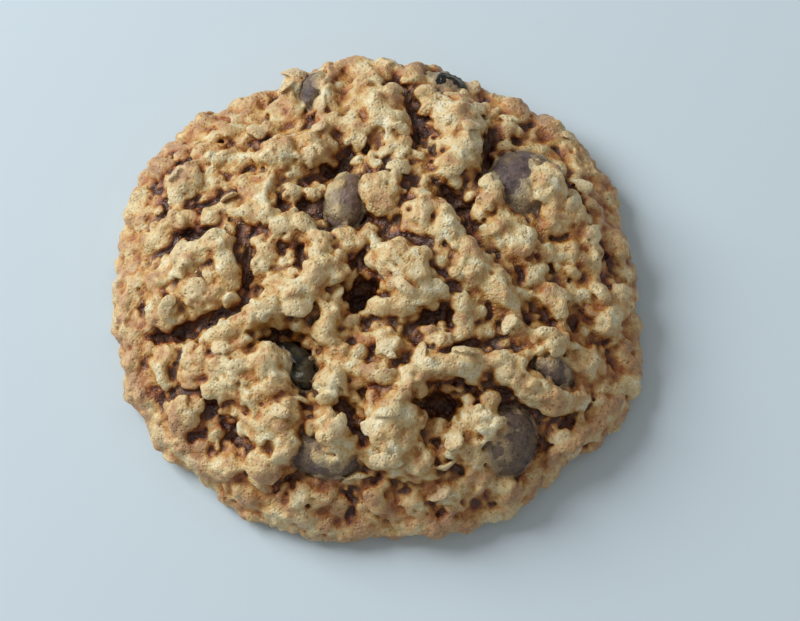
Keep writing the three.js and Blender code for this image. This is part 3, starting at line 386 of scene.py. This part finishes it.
# ------------------------------------------------------------------ mesh making
def link(name, points, faces):
    """A new smooth mesh object from points in mm and lists of triangles and quads."""
    mesh = bpy.data.meshes.new(name)
    mesh.vertices.add(len(points))
    mesh.vertices.foreach_set("co", (points * MM).astype(np.float32).ravel())
    sizes = np.concatenate([np.full(len(f), f.shape[1], np.int32) for f in faces])
    loops = np.concatenate([f.ravel() for f in faces]).astype(np.int32)
    mesh.loops.add(len(loops))
    mesh.loops.foreach_set("vertex_index", loops)
    mesh.polygons.add(len(sizes))
    mesh.polygons.foreach_set("loop_start", np.concatenate([[0], np.cumsum(sizes)[:-1]]).astype(np.int32))
    mesh.update(calc_edges=True)
    mesh.validate()
    mesh.polygons.foreach_set("use_smooth", np.ones(len(mesh.polygons), bool))
    obj = bpy.data.objects.new(name, mesh)
    bpy.context.scene.collection.objects.link(obj)
    return obj


def apply_modifiers(obj):
    """Replaces an object's mesh by what its modifiers make of it."""
    graph = bpy.context.evaluated_depsgraph_get()
    mesh = bpy.data.meshes.new_from_object(obj.evaluated_get(graph))
    obj.modifiers.clear()
    obj.data = mesh
    mesh.polygons.foreach_set("use_smooth", np.ones(len(mesh.polygons), bool))


def move_points(obj, points):
    """Puts the points of a mesh at places in mm, all inside the solid's box."""
    points = np.clip(points, low + BOX_MARGIN, high - BOX_MARGIN)
    obj.data.vertices.foreach_set("co", (points * MM).astype(np.float32).ravel())
    obj.data.update()


def set_attribute(obj, name, values):
    """Stores a number for each point, for the materials to read."""
    attribute = obj.data.attributes.new(name, "FLOAT", "POINT")
    attribute.data.foreach_set("value", values.astype(np.float32))


def dough_object():
    """The dough's field as a mesh of few enough triangles, with its faces turned outwards."""
    verts, tris, quads = polygons(dough)
    # The corners are turned round here, which decides how quads are cut, and the faces at the end.
    obj = link("cookie_dough", verts.astype(np.float64), [f[:, ::-1] for f in (tris, quads) if len(f)])
    count = len(tris) + 2 * len(quads)
    if count > MOST_TRIANGLES:
        decimate = obj.modifiers.new("fewer", "DECIMATE")
        decimate.ratio = MOST_TRIANGLES / count
        apply_modifiers(obj)
    move_points(obj, mesh_arrays(obj)[0])
    obj.data.flip_normals()
    return obj


def set_dough_attributes(obj):
    """How deep in a hollow and how near rim, chips and underside each point is, and where flakes show."""
    at = mesh_arrays(obj)[0].astype(np.float64)
    out = normals_at(dough, at, 0.4)
    inside = (dough < 0).astype(np.float32)
    # How deep in a hollow each point is, which the material paints as shade.
    hollow = np.zeros(len(at), np.float32)
    # How far round, how far out, how much dough is usual there, and how much more than that counts.
    for radius, reach, usual, weight in ((0.5, 0.25, 0.38, 0.8), (1.5, 0.7, 0.34, 1.8), (3.0, 1.4, 0.3, 1.6)):
        hollow = hollow + weight * (sample(blur(inside, radius), at + reach * out) - usual)
    hollow *= 0.75 + 0.6 * smoothstep(-0.4, 0.4, sample(noise(9.0, 61), at))  # the painted shade in the hollows is darker in some places
    underside = smoothstep(0.7, 0.2, at[:, 2]) * smoothstep(-0.3, -0.8, out[:, 2])
    way_out = np.hypot(at[:, 0] / high[0], at[:, 1] / high[1])
    set_attribute(obj, "hollow", np.clip(0.4 + hollow, 0, 1) * (1 - underside))
    set_attribute(obj, "oat", smoothstep(0.25, 0.0, sample(flakes, at)) * (1 - underside))
    set_attribute(obj, "underside", underside)
    set_attribute(obj, "rim", smoothstep(0.72, 0.98, way_out))
    set_attribute(obj, "near_chip", smoothstep(0.75, 0.0, sample(chips_field, at)))


# -------------------------------------------------------------------- materials
def srgb(r, g, b):
    """Linear colour of an sRGB triple from 0 to 255."""
    shares = [c / 255 for c in (r, g, b)]
    return tuple(((s + 0.055) / 1.055) ** 2.4 if s > 0.04045 else s / 12.92 for s in shares) + (1.0,)


class Nodes:
    """Short names for the shader nodes used here. Sizes and bump distances are in mm."""

    def __init__(self, name):
        self.material = bpy.data.materials.new(name)
        self.material.use_nodes = True
        self.tree = self.material.node_tree
        self.shader = self.tree.nodes["Principled BSDF"]
        scale = self.new("ShaderNodeVectorMath", operation="SCALE")
        self.set(scale.inputs[0], self.new("ShaderNodeTexCoord").outputs["Object"])
        self.set(scale.inputs["Scale"], 1 / MM)
        self.mm = scale.outputs[0]

    def new(self, kind, **values):
        node = self.tree.nodes.new(kind)
        for key, value in values.items():
            setattr(node, key, value)
        return node

    def set(self, socket, value):
        if isinstance(value, bpy.types.NodeSocket):
            self.tree.links.new(value, socket)
        else:
            socket.default_value = value

    def finish(self, **values):
        """Sets sockets of the shader by name, with _ for each space."""
        for name, value in values.items():
            self.set(self.shader.inputs[name.replace("_", " ")], value)
        return self.material

    def shifted(self, *by):
        """The place in mm, moved so that each texture has a pattern of its own."""
        node = self.new("ShaderNodeVectorMath", operation="ADD")
        self.set(node.inputs[0], self.mm)
        self.set(node.inputs[1], by)
        return node.outputs[0]

    def math(self, operation, a, b, clamp=False):
        node = self.new("ShaderNodeMath", operation=operation, use_clamp=clamp)
        self.set(node.inputs[0], a)
        self.set(node.inputs[1], b)
        return node.outputs[0]

    def times(self, a, b):
        return self.math("MULTIPLY", a, b)

    def plus(self, a, b):
        return self.math("ADD", a, b)

    def attribute(self, name):
        return self.new("ShaderNodeAttribute", attribute_name=name).outputs["Fac"]

    def noise(self, size, detail=2.0, roughness=0.5, distortion=0.0, seed=0.0):
        node = self.new("ShaderNodeTexNoise")
        self.set(node.inputs["Vector"], self.shifted(seed, seed * 1.7, seed * 0.6))
        self.set(node.inputs["Scale"], 1.0 / size)
        self.set(node.inputs["Detail"], detail)
        self.set(node.inputs["Roughness"], roughness)
        self.set(node.inputs["Distortion"], distortion)
        return node.outputs["Fac"]

    def cells(self, size, seed):
        """Distance to the nearest of random points, as a share of their spacing."""
        node = self.new("ShaderNodeTexVoronoi")
        self.set(node.inputs["Vector"], self.shifted(seed, seed * 0.7, seed * 1.3))
        self.set(node.inputs["Scale"], 1.0 / size)
        return node.outputs["Distance"]

    def ramp(self, value, *stops):
        """Value mapped through stops of (place, colour)."""
        node = self.new("ShaderNodeValToRGB")
        elements = node.color_ramp.elements
        while len(elements) < len(stops):
            elements.new(0.5)
        for element, (place, colour) in zip(elements, stops):
            element.position = place
            element.color = colour
        self.set(node.inputs["Fac"], value)
        return node.outputs["Color"]

    def range(self, value, lo, hi, to=(0.0, 1.0)):
        node = self.new("ShaderNodeMapRange", clamp=True)
        for name, v in zip(("Value", "From Min", "From Max", "To Min", "To Max"), (value, lo, hi, *to)):
            self.set(node.inputs[name], v)
        return node.outputs["Result"]

    def mix(self, factor, a, b, blend="MIX"):
        node = self.new("ShaderNodeMix", data_type="RGBA", blend_type=blend)
        self.set(node.inputs["Factor"], factor)
        for socket, value in ((node.inputs[6], a), (node.inputs[7], b)):
            self.set(socket, value)
        return node.outputs[2]

    def darkened(self, colour, share):
        """Colour times a number, which counts as 1 above 1."""
        return self.mix(1.0, colour, self.ramp(share, (0.0, BLACK), (1.0, WHITE)), "MULTIPLY")

    def bump(self, height, distance, strength, normal=None):
        node = self.new("ShaderNodeBump")
        self.set(node.inputs["Height"], height)
        self.set(node.inputs["Distance"], distance * MM)
        self.set(node.inputs["Strength"], strength)
        if normal is not None:
            self.set(node.inputs["Normal"], normal)
        return node.outputs["Normal"]


BLACK, WHITE = (0.0, 0.0, 0.0, 1.0), (1.0, 1.0, 1.0, 1.0)
CREAM, STRAW, GOLDEN = srgb(231, 222, 188), srgb(220, 197, 142), srgb(206, 165, 96)
TOASTED, BROWN = srgb(184, 124, 56), srgb(150, 88, 34)
# The pale crest colour is a painted highlight.
PAINTED_CREST_HIGHLIGHT, OAT = srgb(224, 220, 190), srgb(224, 204, 156)
# The shade colours darken the hollows as painted shade.
SHALLOW_SHADE, DEEP_SHADE, DEEPEST_SHADE = srgb(228, 194, 138), srgb(170, 118, 60), srgb(92, 54, 24)
# The pinhole colour is painted shade.
PINHOLE_SHADE, SPECK = srgb(98, 58, 30), srgb(146, 88, 44)
THIN_FILM, THINNER_FILM, FILM_SPECK = srgb(158, 140, 104), srgb(128, 112, 90), srgb(84, 62, 44)
BASE_LIGHT, BASE_DARK = srgb(176, 122, 70), srgb(142, 94, 52)
SMEAR, SMEAR_EDGE = srgb(138, 118, 84), srgb(134, 114, 88)
RAISIN_DARK, RAISIN_LIGHT, RAISIN_FILM = srgb(16, 15, 13), srgb(38, 34, 26), srgb(92, 86, 62)
PAPER = srgb(202, 219, 231)

# Each chip's own dark and pale shade.
CHIP_SHADES = {
    "chocolate_chip_north_east": (srgb(50, 37, 41), srgb(112, 95, 103)),
    "chocolate_chip_south_east": (srgb(52, 39, 39), srgb(116, 99, 98)),
    "chocolate_chip_north": (srgb(68, 42, 42), srgb(146, 120, 116)),
    "chocolate_chip_north_west": (srgb(52, 40, 44), srgb(116, 98, 106)),
    "chocolate_chip_east": (srgb(54, 40, 41), srgb(108, 90, 92)),
    "chocolate_chip_south": (srgb(54, 41, 44), srgb(114, 97, 102)),
}


def dough_material():
    """Baked dough, golden in patches, with pinholes, specks and a fine grain; painted shade browns the
    hollows and darkens the pinholes, and a painted highlight pales the crests.
    """
    n = Nodes("baked_oat_dough")
    film = n.attribute("near_chip")
    wander = n.math("SUBTRACT", n.noise(2.2, detail=4.0, roughness=0.6, seed=3), 0.5)
    depth = n.math("ADD", n.attribute("hollow"), n.times(wander, 0.5), clamp=True)
    # Straw to golden and toasted brown in mottled patches, whatever the relief.
    mottle = n.noise(3.4, detail=5.0, roughness=0.62, distortion=0.4, seed=29)
    mottle = n.plus(mottle, n.times(n.attribute("rim"), 0.08))
    colour = n.ramp(mottle, (0.36, CREAM), (0.45, STRAW), (0.53, GOLDEN), (0.62, TOASTED), (0.74, BROWN))
    colour = n.mix(n.times(n.attribute("oat"), 0.65), colour, OAT)
    # A painted highlight makes the crests paler.
    colour = n.mix(n.range(depth, 0.38, 0.12, to=(0.0, 0.2)), colour, PAINTED_CREST_HIGHLIGHT)
    # Painted shade makes the hollows browner and darker.
    shade = n.ramp(depth, (0.32, WHITE), (0.6, SHALLOW_SHADE), (0.84, DEEP_SHADE), (1.0, DEEPEST_SHADE))
    colour = n.mix(1.0, colour, shade, "MULTIPLY")
    # Pinholes darkened by painted shade, and brown specks, each in some patches only.
    hole_patches = n.range(n.noise(2.0, seed=9), 0.48, 0.56)
    holes = n.times(n.range(n.cells(1.3, 5), 0.08, 0.17, to=(0.75, 0.0)), hole_patches)
    colour = n.mix(holes, colour, PINHOLE_SHADE)
    speck_patches = n.range(n.noise(2.4, seed=7), 0.38, 0.54)
    specks = n.times(n.range(n.cells(0.6, 15), 0.14, 0.3, to=(1.0, 0.0)), speck_patches)
    colour = n.mix(n.times(specks, 0.55), colour, SPECK)
    grain = n.range(n.noise(0.4, detail=4.0, roughness=0.75, seed=17), 0.3, 0.7, to=(0.76, 1.2))
    colour = n.darkened(colour, grain)
    # Chocolate shows through where the dough over it is thin.
    veil = n.mix(n.range(film, 0.5, 1.0), THIN_FILM, THINNER_FILM)
    veil = n.mix(n.times(specks, 0.7), veil, FILM_SPECK)
    colour = n.mix(n.range(film, 0.1, 0.8, to=(0.0, 0.85)), colour, veil)
    base = n.range(n.noise(5.0, detail=3.0, roughness=0.6, seed=41), 0.35, 0.65)
    colour = n.mix(n.attribute("underside"), colour, n.mix(base, BASE_LIGHT, BASE_DARK))
    # Moist in the hollows.
    wet = n.times(n.range(depth, 0.3, 0.7), n.range(n.noise(1.4, seed=51), 0.4, 0.6))
    rough = n.math("SUBTRACT", 0.52, n.times(wet, 0.3))
    rough = n.plus(rough, n.times(wander, 0.2))
    height = n.times(n.noise(0.9, detail=5.0, roughness=0.7, seed=2), 0.7)
    height = n.plus(height, n.times(n.range(n.cells(1.3, 5), 0.05, 0.25), 0.4))
    height = n.plus(height, n.times(n.range(n.cells(0.7, 9), 0.05, 0.4), 0.5))
    normal = n.bump(height, distance=0.4, strength=0.9)
    normal = n.bump(n.noise(0.5, detail=3.0, roughness=0.6, seed=6), 0.16, 0.9, normal)
    normal = n.bump(n.noise(0.25, detail=3.0, roughness=0.65, seed=4), 0.1, 0.8, normal)
    return n.finish(
        Base_Color=colour,
        Roughness=rough,
        Normal=normal,
        Specular_IOR_Level=0.75,
        Coat_Weight=0.1,
        Coat_Roughness=0.42,
        Subsurface_Weight=0.15,
        Subsurface_Radius=(1.0, 0.55, 0.28),
        Subsurface_Scale=0.9 * MM,
    )


def chip_material(name, dark, light, seed):
    """Milk chocolate dulled and paled by the oven, with dough smeared on it."""
    n = Nodes(name)
    bloom = n.range(n.noise(1.6, detail=5.0, roughness=0.8, distortion=1.4, seed=seed), 0.42, 0.6)
    colour = n.mix(bloom, dark, light)
    colour = n.mix(n.times(n.attribute("edge"), 0.8), colour, n.mix(0.5, light, SMEAR_EDGE))
    smeared = n.range(n.noise(0.8, detail=4.0, roughness=0.75, seed=seed + 1), 0.32, 0.62)
    film = n.times(n.attribute("film"), smeared)
    colour = n.mix(n.times(film, 0.7), colour, SMEAR)
    colour = n.mix(n.range(n.cells(0.55, 5), 0.14, 0.26, to=(0.6, 0.0)), colour, dark)
    grain = n.range(n.noise(0.35, detail=3.0, roughness=0.75, seed=seed + 2), 0.32, 0.68, to=(0.5, 1.15))
    rough = n.range(n.noise(1.2, detail=3.0, seed=8), 0.3, 0.7, to=(0.4, 0.6))
    normal = n.bump(n.noise(1.0, detail=5.0, roughness=0.72, seed=2), distance=0.35, strength=0.8)
    normal = n.bump(n.noise(0.22, roughness=0.6, seed=6), 0.05, 0.6, normal)
    return n.finish(
        Base_Color=n.darkened(colour, grain),
        Roughness=n.plus(rough, n.times(film, 0.2)),
        Normal=normal,
        Specular_IOR_Level=0.4,
    )


def raisin_material():
    """Black, glossy, wrinkled skin with a trace of dough on it."""
    n = Nodes("raisin_skin")
    tone = n.range(n.noise(1.6, detail=3.0, roughness=0.6, seed=4), 0.35, 0.65)
    colour = n.mix(tone, RAISIN_DARK, RAISIN_LIGHT)
    return n.finish(
        Base_Color=n.mix(n.times(n.attribute("film"), 0.5), colour, RAISIN_FILM),
        Roughness=n.range(n.noise(0.8, seed=9), 0.3, 0.7, to=(0.16, 0.4)),
        Normal=n.bump(n.noise(0.9, detail=4.0, roughness=0.65, seed=2), distance=0.25, strength=0.8),
    )


dough_look = dough_object()
set_dough_attributes(dough_look)
dough_look.data.materials.append(dough_material())
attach(dough_look, "root")
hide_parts("dough")

# -------------------------------------------------------------- chips, raisins
ripples = noise(1.2, 51) + 0.5 * noise(0.6, 52)
wrinkles = 1 - 2 * np.abs(noise(0.9, 53)) - np.abs(noise(0.5, 54))
smears = noise(2.0, 55) + 0.6 * noise(0.8, 56)


def inclusion(node, material, ripple, wrinkle):
    """A chip or raisin: its solid made smooth, then rippled and wrinkled by so many mm."""
    obj = bpy.data.objects.new(node + "_look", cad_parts[node].data.copy())
    obj.data.materials.clear()
    bpy.context.scene.collection.objects.link(obj)
    weld = obj.modifiers.new("weld", "WELD")
    weld.merge_threshold = 1e-6
    subdivide = obj.modifiers.new("smooth", "SUBSURF")
    subdivide.levels = subdivide.render_levels = 3
    apply_modifiers(obj)
    points = mesh_arrays(obj)[0].astype(np.float64)
    away = points - points.mean(0)
    away /= np.linalg.norm(away, axis=1, keepdims=True)
    push = ripple * sample(ripples, points) + wrinkle * sample(wrinkles, points)
    points += away * push[:, None]
    set_attribute(obj, "film", smoothstep(0.0, 0.6, sample(smears, points)))
    set_attribute(obj, "edge", smoothstep(0.7, 0.1, sample(dough, points)))
    move_points(obj, points)
    obj.data.materials.append(material)
    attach(obj, "root")
    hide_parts(node)


for k, node in enumerate(sorted(CHIPS)):
    skin = chip_material(node.replace("chocolate_chip", "milk_chocolate"), *CHIP_SHADES[node], 3 + 7 * k)
    inclusion(node, skin, ripple=0.12, wrinkle=0.1)
raisin_skin = raisin_material()
for node in sorted(RAISINS):
    inclusion(node, raisin_skin, ripple=0.1, wrinkle=0.3)

# ------------------------------------------------------ floor, light, camera (m)
FLOOR_SIZE, FLOOR_DROP = 3.0, 0.00005
bpy.ops.mesh.primitive_plane_add(size=FLOOR_SIZE, location=(0, 0, -FLOOR_DROP))
floor = bpy.context.object
floor.name = "floor"
floor.data.materials.append(Nodes("paper").finish(Base_Color=PAPER, Roughness=0.85))


def area_light(name, place, target, size, power, colour):
    """A round lamp at a place, turned to a target."""
    light = bpy.data.lights.new(name, "AREA")
    light.shape = "DISK"
    light.size = size
    light.energy = power
    light.color = colour
    obj = bpy.data.objects.new(name, light)
    obj.location = place
    obj.rotation_euler = (Vector(target) - Vector(place)).to_track_quat("-Z", "Y").to_euler()
    bpy.context.scene.collection.objects.link(obj)


area_light(
    "window",
    place=(-0.65, 0.35, 0.52),
    target=(0, 0, 0.01),
    size=0.60,
    power=8.7,
    colour=(1.0, 1.0, 0.98),
)

world = bpy.data.worlds.new("room")
bpy.context.scene.world = world
world.use_nodes = True
world.node_tree.nodes["Background"].inputs["Color"].default_value = (1.0, 0.97, 0.93, 1)
world.node_tree.nodes["Background"].inputs["Strength"].default_value = 0.35

# The camera looks down from the front at 72 degrees.
ELEVATION = math.radians(72.0)
DISTANCE = 0.330
AIM = Vector((0.00359, -0.00452, 0.008))
camera_data = bpy.data.cameras.new("camera")
camera_data.lens = 94.9
camera_data.sensor_width = 36.0
camera_data.clip_start = 0.01
camera = bpy.data.objects.new("camera", camera_data)
camera.location = AIM + DISTANCE * Vector((0, -math.cos(ELEVATION), math.sin(ELEVATION)))
camera.rotation_euler = (AIM - camera.location).to_track_quat("-Z", "Y").to_euler()
bpy.context.scene.collection.objects.link(camera)
bpy.context.scene.camera = camera
bpy.context.scene.view_settings.view_transform = "Standard"
